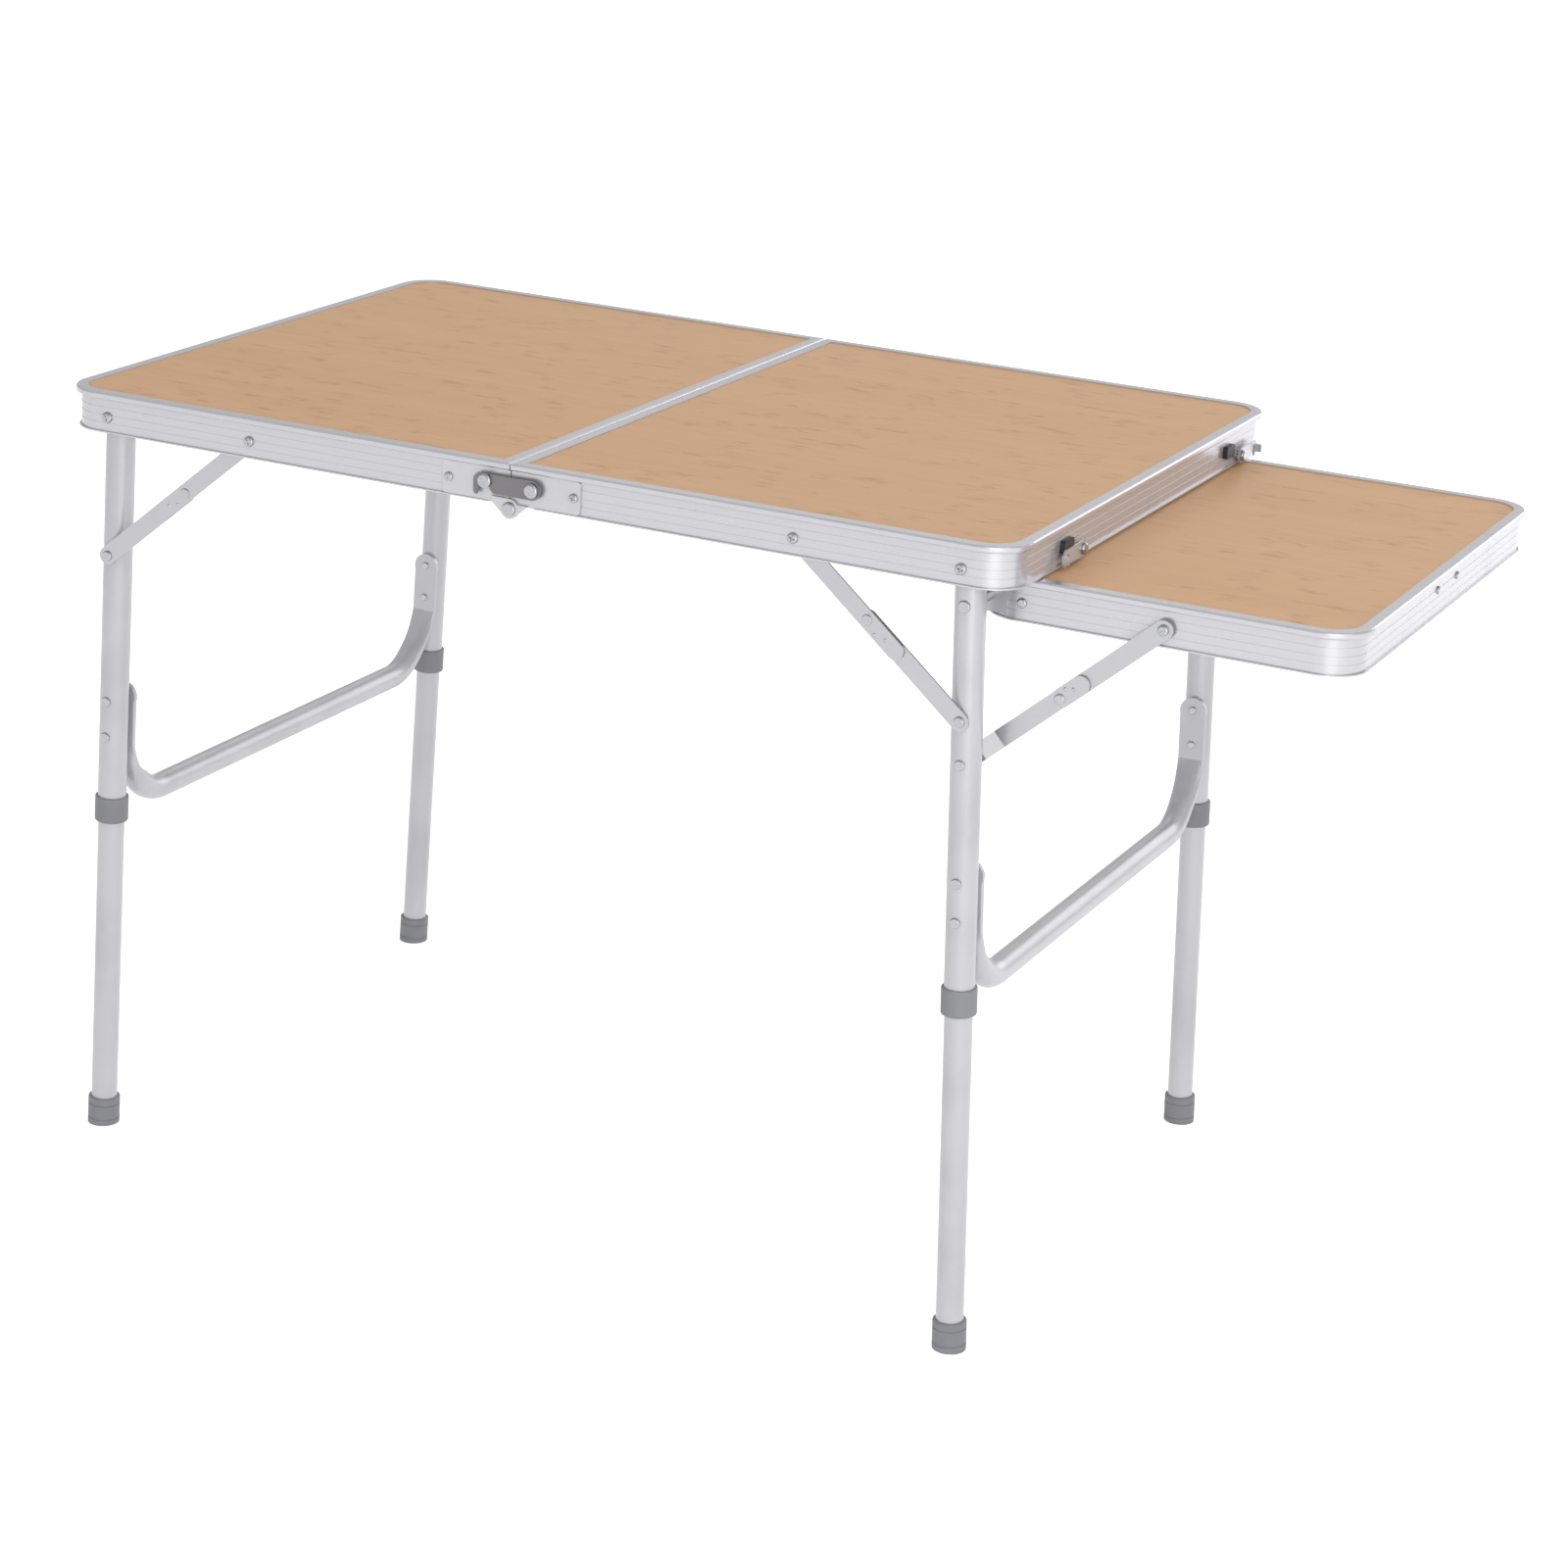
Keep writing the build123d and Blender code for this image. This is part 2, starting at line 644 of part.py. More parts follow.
def make_leaf_hinge():
    """Hinge plates behind the leaf rail's web, their bolts and spacers, and the leaf's screws."""
    outer = leg_inset - upper_tube_r
    x, z = right_x(leaf_pivot_z), leaf_pivot_z
    y0 = leaf_plate_face
    y1 = y0 + plate_thick
    arm = leaf_hinge_arm(x, z, y0)
    bolt = Pos(x, outer, z) * Rot(90, 0, 0) * pan_head(5.2, 1.6)
    bolt += along_y(x, z, outer - 0.5, y1 + 1.5, 3.0)
    bolt += along_y(x, z, leg_inset + upper_tube_r, y0 - 0.3, 6.0)
    bolt += along_y(x, z, y1 + 0.2, y1 + 3.2, 4.5)
    on_leg, _, on_leaf = leaf_points()
    brace = Pos(on_leg[0], outer, on_leg[1]) * Rot(90, 0, 0) * pan_head(4.6, 1.5)
    inner = leg_inset + upper_tube_r + 0.5
    brace += along_y(*on_leg, outer - 0.5, inner + strap_thick + 0.2, 2.5)
    brace += along_y(*on_leg, inner + strap_thick + 0.2, inner + strap_thick + 1.8, 3.8)
    web = leaf_front + web_face
    screw = dome_screw(leaf_screw_x, leaf_screw_z, web, y1 + 4, 4.2, 2.2, 1.9)
    stand = leaf_upper_face + strap_thick + 0.3
    stud = dome_screw(*on_leaf, leaf_upper_face - 0.3, web + 6, 4.6, 2.4, 2.6)
    stud += along_y(*on_leaf, stand, web, 4.6)
    for place in (lambda s: s, front_to_back):
        add("leaf_hinge_plates", place(arm))
        add("leaf_leg_bolts", place(bolt), place(brace))
        add("leaf_screws", place(screw), place(stud))
    for y in end_screw_spots:
        head = Pos(leaf_outer_end - web_face, y, end_screw_z) * Rot(0, 90, 0) * pan_head(3.4, 1.8)
        head += along_x(y, end_screw_z, leaf_outer_end - 16, leaf_outer_end - web_face + 0.5, 1.6)
        add("leaf_screws", head)


# Centre hinge, locks, catches and handle


def lug_plate(face):
    """A hinge lug: a triangle below the plate with a round end about the pivot."""
    low = hinge_z - lug_r * 0.5
    points = [(middle - lug_half, plate_bottom + 0.3), (middle + lug_half, plate_bottom + 0.3)]
    points += [(middle + lug_r * 0.86, low), (middle - lug_r * 0.86, low)]
    triangle = plate_xz(points, face, face + plate_thick)
    return triangle, along_y(middle, hinge_z, face, face + plate_thick, lug_r)


def make_hinges():
    """The centre hinge's plates, one half's lug passing behind the other's, and their pins."""
    back_face = web_face - plate_thick
    front_face = back_face - plate_thick - 0.2
    edge = middle - half_gap
    plate = block(middle - plate_reach, edge, back_face, web_face, plate_bottom, plate_top)
    plate = fillet(plate.edges().filter_by(Axis.Y).group_by(Axis.X)[0], 3)
    screw_x, screw_z = plate_screw
    plate -= along_y(screw_x, screw_z, 0, 9, 1.82)
    bridge_low, bridge_high = plate_bottom + 0.3, plate_bottom + 4.5
    triangle, round_end = lug_plate(front_face)
    left = plate + block(middle - lug_half, edge, front_face, web_face, bridge_low, bridge_high)
    left -= along_y(middle, hinge_z, back_face - 0.1, web_face + 1, lug_r + 0.3)
    left = left + triangle + round_end
    left -= along_y(middle, hinge_z, -9, 9, 2.33)
    left -= along_y(*lock_stud, -9, 9, 3.02)
    triangle, round_end = lug_plate(back_face)
    right = left_to_right(plate) + round_end
    right += triangle & block(middle, middle + 30, 0, 9, 600, plate_bottom + 1)
    right -= along_y(middle, hinge_z, -9, 9, 2.27)
    right -= along_y(*lock_pivot, -9, 9, 3.02)
    pin = dome_screw(middle, hinge_z, front_face - 0.1, web_face + 0.4, 6.0, 2.4, 2.25)
    for place in (lambda s: s, front_to_back):
        add("left_hinge_plates", place(left))
        add("right_hinge_plates", place(right))
        add("right_studs", place(pin))


def lock_bar():
    """The lock bar: pivots on the right stud and hooks down over the left one."""
    y0, y1 = bar_face, bar_face + bar_thick
    px, pz = lock_pivot
    sx, sz = lock_stud
    low, high, tip = pz - lock_half, sz + 5.8, pz - lock_half - 2.4
    points = [(px, low), (px, pz + lock_half), (sx + 6, high), (sx - 7, high), (sx - 10.8, high - 4)]
    points += [(sx - 10.8, tip + 2.5), (sx - 9, tip), (sx - 7.4, tip), (sx - 3.8, sz)]
    points += [(sx - 2.6, sz + 3.2), (sx + 2.6, sz + 3.2), (sx + 4.4, sz), (sx + 4.4, low + 4), (sx + 8, low)]
    bar = plate_xz(points, y0, y1) + along_y(px, pz, y0, y1, lock_half)
    return bar - along_y(px, pz, y0 - 1, y1 + 1, 3.08)


def lock_post(x, z):
    """A big headed stud that stands on a hinge plate."""
    post = along_y(x, z, -2.9, web_face + 1.0, 3.0)
    post += Pos(x, -2.5, z) * Rot(90, 0, 0) * cross_head(6.4, 2.8)
    return post


def make_locks():
    """Lock bars, their studs, and the holes that the studs need."""
    left_post = lock_post(*lock_stud)
    right_post = lock_post(*lock_pivot)
    for end, place in (("front", lambda s: s), ("back", front_to_back)):
        add(f"{end}_lock_bar", place(lock_bar()))
        add("left_studs", place(left_post))
        add("right_studs", place(right_post))


def make_screws():
    """The screws in the long rails: leg pivots, brace pivots and hinge plates."""
    x, z = pivot_point()
    outer = leg_inset - upper_tube_r
    inner = leg_inset + upper_tube_r
    pivot = dome_screw(x, z, web_face, inner + 1.2, 4.8, 2.6, 3.0)
    pivot += along_y(x, z, web_face + rail_wall + 0.4, outer - 0.4, 6.0)
    pivot += along_y(x, z, inner + 0.3, inner + 2.8, 5.0)
    brace = dome_screw(brace_rail_x, brace_rail_z, web_face, lower_link_face + 1.2, 4.6, 2.6, 2.5)
    brace += along_y(brace_rail_x, brace_rail_z, web_face + rail_wall, upper_link_face - 0.15, 4.5)
    brace += along_y(brace_rail_x, brace_rail_z, upper_link_face + strap_thick + 0.15, 10.6, 4.0)
    plate = dome_screw(*plate_screw, web_face - plate_thick, web_face + 5, 4.0, 2.2, 1.8)
    for side, turn in (("left", lambda s: s), ("right", left_to_right)):
        for place in (lambda s: s, front_to_back):
            add(f"{side}_screws", place(turn(pivot)), place(turn(brace)), place(turn(plate)))


def make_catches():
    """Swinging catches on the right end rail and the strike studs on the left one."""
    face = table_length - web_face
    front = table_length + 0.5
    for end, y, way in zip(("front", "back"), catch_spots, (-1, 1)):
        post = along_x(y, catch_z, face - 3, front + 1.9, 2.4)
        post += along_x(y, catch_z, face, front - 0.2, 5.0)
        post += Pos(front + 1.8, y, catch_z) * Rot(0, 90, 0) * pan_head(5.0, 3.0)
        base = block(face, face + 1.4, y - 11, y + 11, catch_z - 6.5, catch_z + 8.5)
        base -= along_x(y, catch_z, face - 1, face + 3, 5.0)
        add("catch_studs", post)
        add("catch_plates", base)
        add(f"{end}_end_catch", Pos(0, y, catch_z) * catch_arm(front, way))
        strike = along_x(y, strike_z, -1.4, web_face + 3, 2.6)
        strike += Pos(-1.0, y, strike_z) * Rot(0, -90, 0) * pan_head(4.6, 1.8)
        add("left_studs", strike)
    for y in bumper_spots:
        pad = block(face, front - 0.6, y - 10, y + 10, catch_z + 2, catch_z + 13)
        pad = fillet(pad.edges().filter_by(Axis.X), 2.5)
        add("catch_bumpers", pad)


def catch_arm(front, way):
    """A catch about the origin: a flat arm whose notch drops over the other half's strike stud."""
    thick = 1.6
    low, high = -6.5, 6.5
    mouth = catch_reach - 3.0, catch_reach + 3.0
    tip = catch_reach + 9.5
    points = [(0, low), (mouth[0] - 1.5, low), (mouth[0], low + 2), (mouth[0], 1.5), (mouth[0] + 1.5, 3)]
    points += [(mouth[1] - 1.5, 3), (mouth[1], 1.5), (mouth[1], low - 0.8), (tip - 2, low - 0.8)]
    points += [(tip, low + 2), (tip, high - 4), (tip - 4, high), (0, high)]
    outline = Polyline(*[(front, way * a, b) for a, b in points], close=True)
    arm = extrude(make_face(outline), amount=thick, dir=(1, 0, 0))
    arm += along_x(0, 0, front, front + thick, high)
    grip = sorted((way * (tip - 1.6), way * tip))
    arm += block(front, front + 6, grip[0], grip[1], low + 2, high - 4)
    arm -= along_x(0, 0, front - 1, front + 3, 2.47)
    return arm


def make_handle():
    """The carrying handle in the middle of the left end, hanging from two brackets."""
    mid = table_width / 2
    x, z = handle_pivot_x, handle_pivot_z
    grip = Pos(x - 2, mid, z - handle_drop) * Box(8, 2 * handle_reach - 20, 9)
    handle = fillet(grip.edges(), 3.2)
    for sign in (-1, 1):
        y = mid + sign * handle_reach
        bracket = block(x - 2.5, web_face, y - 5, y + 5, z - 6, z + 6)
        bracket += block(web_face - 1.6, web_face, y - 5, y + 5, z - 14, z + 6)
        bracket -= along_y(x, z, y - 15, y + 15, handle_pin_r + 0.07)
        add("handle_brackets", bracket)
        arm = Pos(x - 0.5, y - sign * 8.5, z - 7.5) * Box(5, 5, 21)
        ends = sorted((y + sign * 6, y - sign * 8.5))
        handle += arm + along_y(x, z, *ends, handle_pin_r)
    add("carry_handle", handle)


def write_parts():
    """Move every node to the shared origin and write it."""
    os.makedirs("parts", exist_ok=True)
    shift = Pos(-origin_x, -table_width / 2, 0)
    for name, solids in nodes.items():
        moved = [shift * solid for solid in solids]
        shape = moved[0] if len(moved) == 1 else Compound(children=moved)
        export_step(shape, f"parts/{name}.step")
    print(len(nodes), "nodes")


make_tops()
make_leaf_top()
make_legs()
make_braces()
make_leaf_braces()
make_leaf_hinge()
make_hinges()
make_locks()
make_screws()
make_catches()
make_handle()
write_parts()
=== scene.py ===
import json
import math
import bpy
from mathutils import Matrix, Vector

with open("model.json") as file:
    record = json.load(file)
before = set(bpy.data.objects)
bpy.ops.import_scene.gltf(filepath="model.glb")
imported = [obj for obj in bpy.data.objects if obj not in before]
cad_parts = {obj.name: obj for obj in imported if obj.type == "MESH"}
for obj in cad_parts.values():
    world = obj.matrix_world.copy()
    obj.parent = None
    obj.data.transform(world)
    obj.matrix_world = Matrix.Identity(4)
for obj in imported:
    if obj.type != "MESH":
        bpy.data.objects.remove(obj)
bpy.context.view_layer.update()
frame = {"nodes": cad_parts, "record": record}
nodes = frame["nodes"]
print("frame loaded:", len(nodes), "nodes")


# camera

camera = {
    "azimuth": 25.21,       # degrees round from the front
    "elevation": 19.0,      # degrees above level
    "roll": 2.97,           # degrees
    "distance": 3.49616,    # metres
    "target": (-0.04212, 0.07625, 0.33085),
    "lens": 86.68,          # millimetres, as the sensor
    "sensor": 36.0,
    "near": 0.05,
    "far": 60,
}


def cameraTurn(azimuth, elevation, roll):
    aim = Matrix.Rotation(azimuth, 3, "Z") @ Matrix.Rotation(math.pi / 2 - elevation, 3, "X")
    return aim @ Matrix.Rotation(roll, 3, "Z")


def addCamera():
    data = bpy.data.cameras.new("camera")
    data.lens = camera["lens"]
    data.sensor_width = camera["sensor"]
    data.clip_start = camera["near"]
    data.clip_end = camera["far"]
    cam = bpy.data.objects.new("camera", data)
    bpy.context.scene.collection.objects.link(cam)
    azimuth = math.radians(camera["azimuth"])
    elevation = math.radians(camera["elevation"])
    level = math.cos(elevation)
    out = (math.sin(azimuth) * level, -math.cos(azimuth) * level, math.sin(elevation))
    cam.location = [t + camera["distance"] * o for t, o in zip(camera["target"], out)]
    cam.rotation_mode = "XYZ"
    cam.rotation_euler = cameraTurn(azimuth, elevation, math.radians(camera["roll"])).to_euler()
    bpy.context.scene.camera = cam


# node helpers


def feed(tree, socket, value):
    # link a socket to another node's output, or set it to a plain value
    if isinstance(value, bpy.types.NodeSocket):
        tree.links.new(value, socket)
    else:
        socket.default_value = value


def addNode(tree, kind, inputs=None, **settings):
    node = tree.nodes.new(kind)
    for key, value in settings.items():
        setattr(node, key, value)
    for key, value in (inputs or {}).items():
        feed(tree, node.inputs[key], value)
    return node


def newGroup(name, inputs, outputs):
    # a shader node group: inputs are (name, kind, default), outputs are (name, kind)
    group = bpy.data.node_groups.new(name, "ShaderNodeTree")
    for label, kind, value in inputs:
        socket = group.interface.new_socket(label, in_out="INPUT", socket_type=kind)
        if value is not None:
            socket.default_value = value
    for label, kind in outputs:
        group.interface.new_socket(label, in_out="OUTPUT", socket_type=kind)
    start = group.nodes.new("NodeGroupInput")
    end = group.nodes.new("NodeGroupOutput")
    return group, start.outputs, end.inputs


def useGroup(tree, group, **values):
    node = tree.nodes.new("ShaderNodeGroup")
    node.node_tree = group
    for key, value in values.items():
        feed(tree, node.inputs[key], value)
    return node


def maths(tree, operation, a, b=None):
    inputs = {0: a}
    if b is not None:
        inputs[1] = b
    return addNode(tree, "ShaderNodeMath", inputs, operation=operation).outputs[0]


def times(tree, a, b):
    return maths(tree, "MULTIPLY", a, b)


def mixColor(tree, factor, a, b):
    # on a colour Mix node, input 0 is the factor, 6 and 7 are the colours, and output 2 is the result
    inputs = {0: factor, 6: a, 7: b}
    return addNode(tree, "ShaderNodeMix", inputs, data_type="RGBA", blend_type="MIX").outputs[2]


def ramp(tree, value, band):
    # 0 below the band, 1 above it, smooth between
    inputs = {"Value": value, "From Min": band[0], "From Max": band[1]}
    return addNode(tree, "ShaderNodeMapRange", inputs, interpolation_type="SMOOTHSTEP").outputs["Result"]


def scaled(tree, vector, scale):
    return addNode(tree, "ShaderNodeMapping", {"Vector": vector, "Scale": scale}).outputs[0]


def noise(tree, vector, scale, detail, roughness=0.5):
    inputs = {"Vector": vector, "Scale": scale, "Detail": detail, "Roughness": roughness}
    return addNode(tree, "ShaderNodeTexNoise", inputs).outputs["Fac"]


def objectPlace(tree):
    return addNode(tree, "ShaderNodeTexCoord").outputs["Object"]


# shared effects

streaks = {
    "broadScale": (0.22, 0.22, 0.22),    # as a share of the fine streaks' scale
    "broadShare": 0.4,
}

handling = {
    "smudgeBand": (0.42, 0.68),
    "speckScale": 420.0,
    "speckBand": (0.70, 0.76),
}


def makeStreakGroup():
    # noise at two widths; the vector comes in already scaled, which draws it out along the grain
    group, take, give = newGroup(
        "streaks",
        [("Vector", "NodeSocketVector", None), ("Fine", "NodeSocketFloat", 1.0)],
        [("Fac", "NodeSocketFloat")],
    )
    fine = noise(group, take["Vector"], 1.0, 4.0, 0.65)
    broad = noise(group, scaled(group, take["Vector"], streaks["broadScale"]), 1.0, 2.0)
    inputs = {0: streaks["broadShare"], 2: fine, 3: broad}
    mixed = addNode(group, "ShaderNodeMix", inputs, data_type="FLOAT").outputs[0]
    contrast = times(group, maths(group, "SUBTRACT", mixed, 0.5), take["Fine"])
    group.links.new(maths(group, "ADD", contrast, 0.5), give["Fac"])
    return group


def makeWearGroup():
    # faint smudges and specks over a handled surface
    group, take, give = newGroup(
        "handling",
        [("Scale", "NodeSocketFloat", 30.0), ("Amount", "NodeSocketFloat", 0.1)],
        [("Smudge", "NodeSocketFloat"), ("Speck", "NodeSocketFloat")],
    )
    place = objectPlace(group)
    smudge = ramp(group, noise(group, place, take["Scale"], 4.0), handling["smudgeBand"])
    speck = ramp(group, noise(group, place, handling["speckScale"], 2.0), handling["speckBand"])
    group.links.new(times(group, smudge, take["Amount"]), give["Smudge"])
    group.links.new(times(group, speck, take["Amount"]), give["Speck"])
    return group


streakGroup = makeStreakGroup()
wearGroup = makeWearGroup()


def startMaterial(name):
    material = bpy.data.materials.new(name)
    material.use_nodes = True
    tree = material.node_tree
    return material, tree, tree.nodes["Principled BSDF"]


def bump(tree, shader, height, look):
    inputs = {"Height": height, "Strength": look["bumpStrength"], "Distance": look["bumpHeight"]}
    node = addNode(tree, "ShaderNodeBump", inputs)
    tree.links.new(node.outputs["Normal"], shader.inputs["Normal"])


def unevenRoughness(tree, look, pattern, spread):
    # the look's own roughness in the middle of the spread
    return maths(tree, "ADD", times(tree, pattern, spread), look["roughness"] - spread / 2)


# wood print on the boards; strips run along X, and a pattern's scales are along X, Y and Z

bamboo = {
    "pale": (0.772, 0.468, 0.256, 1),
    "mid": (0.655, 0.378, 0.193, 1),
    "fleck": (0.440, 0.222, 0.098, 1),
    "backing": (0.560, 0.545, 0.520, 1),
    "backingBelow": -0.5,           # a face is the underside where its normal's Z is less
    "stripWidth": 0.0185,           # metres
    "stripShift": 3.7,              # metres, the most that a strip's pattern slides along it
    "stripDarkening": 0.30,
    "grainScale": (6, 520, 1),
    "grainContrast": 1.7,
    "cloudScale": (1.6, 26, 1),
    "cloudBand": (0.4, 0.7),
    "cloudStrength": 0.30,
    "blobScale": (27, 80, 1),
    "blobBand": (0.58, 0.74),
    "blobStrength": 0.44,
    "wispScale": (11, 330, 1),
    "wispBand": (0.60, 0.74),
    "wispStrength": 0.20,
    "nodeSpacing": 0.23,            # metres along a strip
    "nodeBand": (0.010, 0.060),     # half widths of the cane joint's mark, as a share of the spacing
    "nodeStrength": 0.44,
    "brokenScale": (55, 260, 1),
    "brokenBand": (0.44, 0.66),
    "roughness": 0.46,
    "specular": 0.28,
    "bumpStrength": 0.10,
    "bumpHeight": 0.0002,
}


def bambooBase(tree, place, moved, tone):
    # pale and darker streaks, each strip with its own tone, and broad pale clouds over them
    stretched = scaled(tree, moved, bamboo["grainScale"])
    grain = useGroup(tree, streakGroup, Vector=stretched, Fine=bamboo["grainContrast"]).outputs["Fac"]
    cloud = noise(tree, scaled(tree, place, bamboo["cloudScale"]), 1.0, 2.0)
    base = mixColor(tree, grain, bamboo["mid"], bamboo["pale"])
    base = mixColor(tree, times(tree, tone, bamboo["stripDarkening"]), base, bamboo["mid"])
    lighter = times(tree, ramp(tree, cloud, bamboo["cloudBand"]), bamboo["cloudStrength"])
    return grain, mixColor(tree, lighter, base, bamboo["pale"])


def bambooMarks(tree, place, moved, shifted):
    # broken marks at the cane joints, soft flecks and thin wisps, whichever is strongest
    along = maths(tree, "FRACT", maths(tree, "DIVIDE", shifted, bamboo["nodeSpacing"]))
    fromJoint = maths(tree, "ABSOLUTE", maths(tree, "SUBTRACT", along, 0.5))
    near = maths(tree, "SUBTRACT", 1.0, ramp(tree, fromJoint, bamboo["nodeBand"]))
    broken = noise(tree, scaled(tree, moved, bamboo["brokenScale"]), 1.0, 3.0, 0.55)
    mark = times(tree, near, ramp(tree, broken, bamboo["brokenBand"]))
    blob = noise(tree, scaled(tree, place, bamboo["blobScale"]), 1.0, 3.0, 0.55)
    wisp = noise(tree, scaled(tree, moved, bamboo["wispScale"]), 1.0, 3.0, 0.6)
    dark = times(tree, mark, bamboo["nodeStrength"])
    for pattern, kind in ((blob, "blob"), (wisp, "wisp")):
        shown = times(tree, ramp(tree, pattern, bamboo[kind + "Band"]), bamboo[kind + "Strength"])
        dark = maths(tree, "MAXIMUM", dark, shown)
    return dark


def bambooPrint():
    material, tree, shader = startMaterial("bamboo_print")
    place = objectPlace(tree)
    apart = addNode(tree, "ShaderNodeSeparateXYZ", {0: place}).outputs
    strip = maths(tree, "FLOOR", maths(tree, "DIVIDE", apart[1], bamboo["stripWidth"]))
    tone = addNode(tree, "ShaderNodeTexWhiteNoise", {"W": strip}, noise_dimensions="1D").outputs["Value"]
    shifted = maths(tree, "ADD", apart[0], times(tree, tone, bamboo["stripShift"]))
    moved = addNode(tree, "ShaderNodeCombineXYZ", {0: shifted, 1: apart[1], 2: 0.0}).outputs[0]
    grain, base = bambooBase(tree, place, moved, tone)
    color = mixColor(tree, bambooMarks(tree, place, moved, shifted), base, bamboo["fleck"])
    facing = addNode(tree, "ShaderNodeTexCoord").outputs["Normal"]
    up = addNode(tree, "ShaderNodeSeparateXYZ", {0: facing}).outputs[2]
    color = mixColor(tree, maths(tree, "LESS_THAN", up, bamboo["backingBelow"]), color, bamboo["backing"])
    tree.links.new(color, shader.inputs["Base Color"])
    shader.inputs["Roughness"].default_value = bamboo["roughness"]
    shader.inputs["Specular IOR Level"].default_value = bamboo["specular"]
    bump(tree, shader, grain, bamboo)
    return material


# metals, all but the fasteners less than fully metallic, so that they mirror less;
# streaks run square to the axis with the largest grain scale, and equal scales give none

metals = {
    "rail_aluminium": {
        "color": (0.60, 0.596, 0.628, 1),
        "dark": (0.57, 0.566, 0.598, 1),
        "roughness": 0.24,
        "metallic": 0.52,
        "grainScale": (0.8, 0.8, 700),
        "smudgeScale": 18.0,
    },
    "bright_plate": {
        "color": (0.61, 0.608, 0.635, 1),
        "dark": (0.56, 0.558, 0.585, 1),
        "roughness": 0.30,
        "metallic": 0.55,
        "grainScale": (6, 6, 700),
        "smudgeScale": 40.0,
    },
    "strap_steel": {
        "color": (0.52, 0.518, 0.545, 1),
        "dark": (0.47, 0.468, 0.495, 1),
        "roughness": 0.28,
        "metallic": 0.80,
        "grainScale": (40, 40, 40),
        "smudgeScale": 40.0,
    },
    "dark_steel": {
        "color": (0.235, 0.225, 0.235, 1),
        "dark": (0.185, 0.18, 0.19, 1),
        "roughness": 0.36,
        "metallic": 0.8,
        "grainScale": (8, 8, 600),
        "smudgeScale": 40.0,
    },
    "chrome_fasteners": {
        "color": (0.46, 0.465, 0.490, 1),
        "dark": (0.39, 0.395, 0.420, 1),
        "roughness": 0.13,
        "metallic": 1.0,
        "grainScale": (60, 60, 60),
        "smudgeScale": 60.0,
    },
}

metalSurface = {
    "grainContrast": 1.3,
    "wear": 0.25,
    "speckShare": 0.5,
    "grainRoughness": 0.12,
    "smudgeRoughness": 0.12,
    "bumpStrength": 0.05,
    "bumpHeight": 0.0001,
}


def brushedMetal(name, look):
    material, tree, shader = startMaterial(name)
    stretched = scaled(tree, objectPlace(tree), look["grainScale"])
    contrast = metalSurface["grainContrast"]
    grain = useGroup(tree, streakGroup, Vector=stretched, Fine=contrast).outputs["Fac"]
    wear = useGroup(tree, wearGroup, Scale=look["smudgeScale"], Amount=metalSurface["wear"]).outputs
    color = mixColor(tree, grain, look["dark"], look["color"])
    color = mixColor(tree, times(tree, wear["Speck"], metalSurface["speckShare"]), color, look["dark"])
    tree.links.new(color, shader.inputs["Base Color"])
    rough = unevenRoughness(tree, look, grain, metalSurface["grainRoughness"])
    rough = maths(tree, "ADD", rough, times(tree, wear["Smudge"], metalSurface["smudgeRoughness"]))
    tree.links.new(rough, shader.inputs["Roughness"])
    shader.inputs["Metallic"].default_value = look["metallic"]
    bump(tree, shader, grain, metalSurface)
    return material


# coated and moulded finishes

tubePaint = {
    "color": (0.565, 0.562, 0.590, 1),
    "roughness": 0.30,
    "metallic": 0.30,
    "smudgeScale": 14.0,
    "wear": 0.6,
    "smudgeShade": 0.86,            # a smudge's colour, as a share of the paint's
    "peelScale": 900.0,
    "peelRoughness": 0.08,
    "bumpStrength": 0.06,
    "bumpHeight": 0.0001,
}

plastics = {
    "grey_plastic": {"color": (0.245, 0.247, 0.262, 1), "roughness": 0.52},
    "black_plastic": {"color": (0.020, 0.020, 0.022, 1), "roughness": 0.45},
}

plasticSurface = {
    "pebbleScale": 1600.0,
    "smudgeScale": 22.0,
    "wear": 0.7,
    "smudgeShare": 0.6,
    "smudgeShade": 1.25,            # a smudge's colour, as a multiple of the plastic's
    "smudgeLift": 0.01,             # and a little more, so that it shows on black
    "bumpStrength": 0.18,
    "bumpHeight": 0.00015,
}


def satinPaint(name, look):
    material, tree, shader = startMaterial(name)
    smudge = useGroup(tree, wearGroup, Scale=look["smudgeScale"], Amount=look["wear"]).outputs["Smudge"]
    peel = noise(tree, objectPlace(tree), look["peelScale"], 2.0)
    darker = [c * look["smudgeShade"] for c in look["color"][:3]] + [1]
    tree.links.new(mixColor(tree, smudge, look["color"], darker), shader.inputs["Base Color"])
    rough = unevenRoughness(tree, look, peel, look["peelRoughness"])
    tree.links.new(rough, shader.inputs["Roughness"])
    shader.inputs["Metallic"].default_value = look["metallic"]
    bump(tree, shader, peel, look)
    return material


def mouldedPlastic(name, look):
    material, tree, shader = startMaterial(name)
    surface = plasticSurface
    pebble = noise(tree, objectPlace(tree), surface["pebbleScale"], 3.0, 0.6)
    wear = useGroup(tree, wearGroup, Scale=surface["smudgeScale"], Amount=surface["wear"])
    smudge = times(tree, wear.outputs["Smudge"], surface["smudgeShare"])
    lighter = [min(1, c * surface["smudgeShade"] + surface["smudgeLift"]) for c in look["color"][:3]] + [1]
    tree.links.new(mixColor(tree, smudge, look["color"], lighter), shader.inputs["Base Color"])
    shader.inputs["Roughness"].default_value = look["roughness"]
    bump(tree, shader, pebble, surface)
    return material


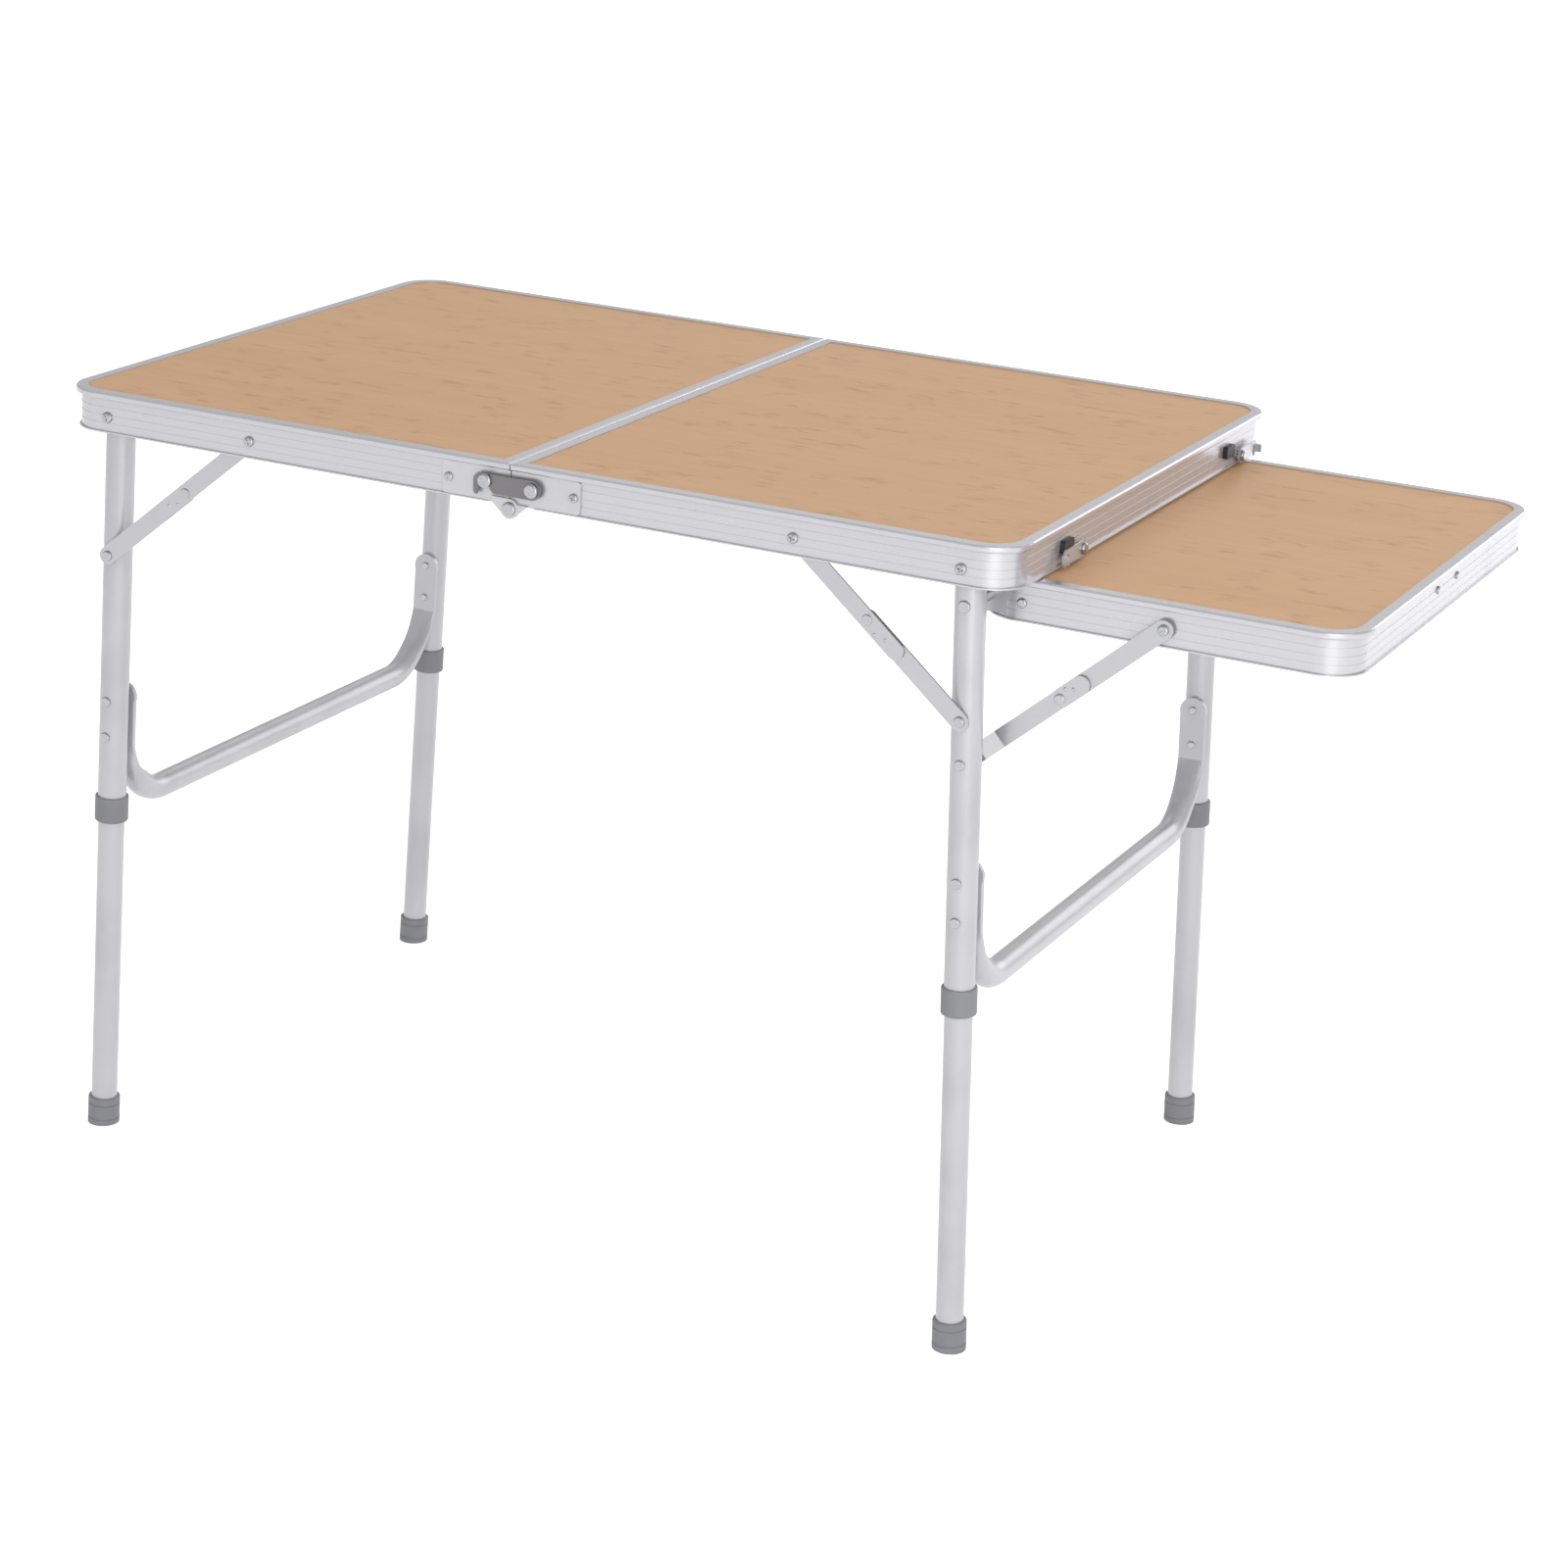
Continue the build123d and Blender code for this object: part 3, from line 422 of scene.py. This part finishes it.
def makeMaterials():
    made = {"board_print": bambooPrint()}
    for name, look in metals.items():
        made[name] = brushedMetal(name, look)
    made["grey_tube"] = satinPaint("grey_tube", tubePaint)
    for name, look in plastics.items():
        made[name] = mouldedPlastic(name, look)
    return made


def dressNodes():
    materials = makeMaterials()
    slots = {part["node"]: part["material_slot"] for part in frame["record"]["subparts"]}
    for name, thing in nodes.items():
        thing.data.materials.clear()
        thing.data.materials.append(materials[slots[name]])


# floor, light and backdrop; places and sizes in metres, power in watts

studio = {
    "floor": 0.90,
    "floorRoughness": 0.9,
    "floorGlow": 0.62,
    "floorReach": 14,
    "world": 0.62,
    "aim": (0.05, 0, 0.5),
}

lamps = {
    "key": {"place": (3.3, -3.4, 2.8), "size": 5.6, "power": 86},
    "fill": {"place": (2.0, -2.8, 0.85), "size": 1.6, "power": 14},
    "rim": {"place": (-1.2, 3.6, 3.2), "size": 2.4, "power": 10},
    "back": {"place": (1.1, 3.6, 1.5), "size": 2.2, "power": 29},
}


def floorMaterial():
    # the same to the camera and in reflections; with the light on it, it is past white, so no shadow shows
    material, tree, shader = startMaterial("pale_floor")
    shader.inputs["Base Color"].default_value = (studio["floor"], studio["floor"], studio["floor"], 1)
    shader.inputs["Roughness"].default_value = studio["floorRoughness"]
    path = addNode(tree, "ShaderNodeLightPath").outputs
    seen = maths(tree, "MAXIMUM", path["Is Camera Ray"], path["Is Glossy Ray"])
    shader.inputs["Emission Color"].default_value = (1, 1, 1, 1)
    tree.links.new(times(tree, seen, studio["floorGlow"]), shader.inputs["Emission Strength"])
    return material


def addStage():
    mesh = bpy.data.meshes.new("floor")
    reach = studio["floorReach"]
    corners = [(-reach, -reach, 0), (reach, -reach, 0), (reach, reach, 0), (-reach, reach, 0)]
    mesh.from_pydata(corners, [], [(0, 1, 2, 3)])
    floor = bpy.data.objects.new("floor", mesh)
    bpy.context.scene.collection.objects.link(floor)
    mesh.materials.append(floorMaterial())


def addLamp(name, look):
    # a square area lamp, which the camera doesn't see but reflections do
    data = bpy.data.lights.new(name, "AREA")
    data.size = look["size"]
    data.energy = look["power"]
    lamp = bpy.data.objects.new(name, data)
    lamp.location = look["place"]
    lamp.visible_camera = False
    aim = Vector(studio["aim"]) - lamp.location
    lamp.rotation_euler = aim.to_track_quat("-Z", "Y").to_euler()
    bpy.context.scene.collection.objects.link(lamp)


def addWorld():
    # white to the camera and through clear things, and dimmer in reflections and as a light
    world = bpy.data.worlds.new("studio")
    world.use_nodes = True
    bpy.context.scene.world = world
    tree = world.node_tree
    back = tree.nodes["Background"]
    path = addNode(tree, "ShaderNodeLightPath").outputs
    seen = maths(tree, "MAXIMUM", path["Is Camera Ray"], path["Is Transmission Ray"])
    extra = times(tree, seen, 1.0 - studio["world"])
    tree.links.new(maths(tree, "ADD", extra, studio["world"]), back.inputs["Strength"])
    back.inputs["Color"].default_value = (1, 1, 1, 1)


addCamera()
addWorld()
addStage()
for label, look in lamps.items():
    addLamp(label, look)
bpy.context.scene.view_settings.view_transform = "Standard"
print("camera, floor and lamps in place")

dressNodes()
print("materials on the frame's nodes")
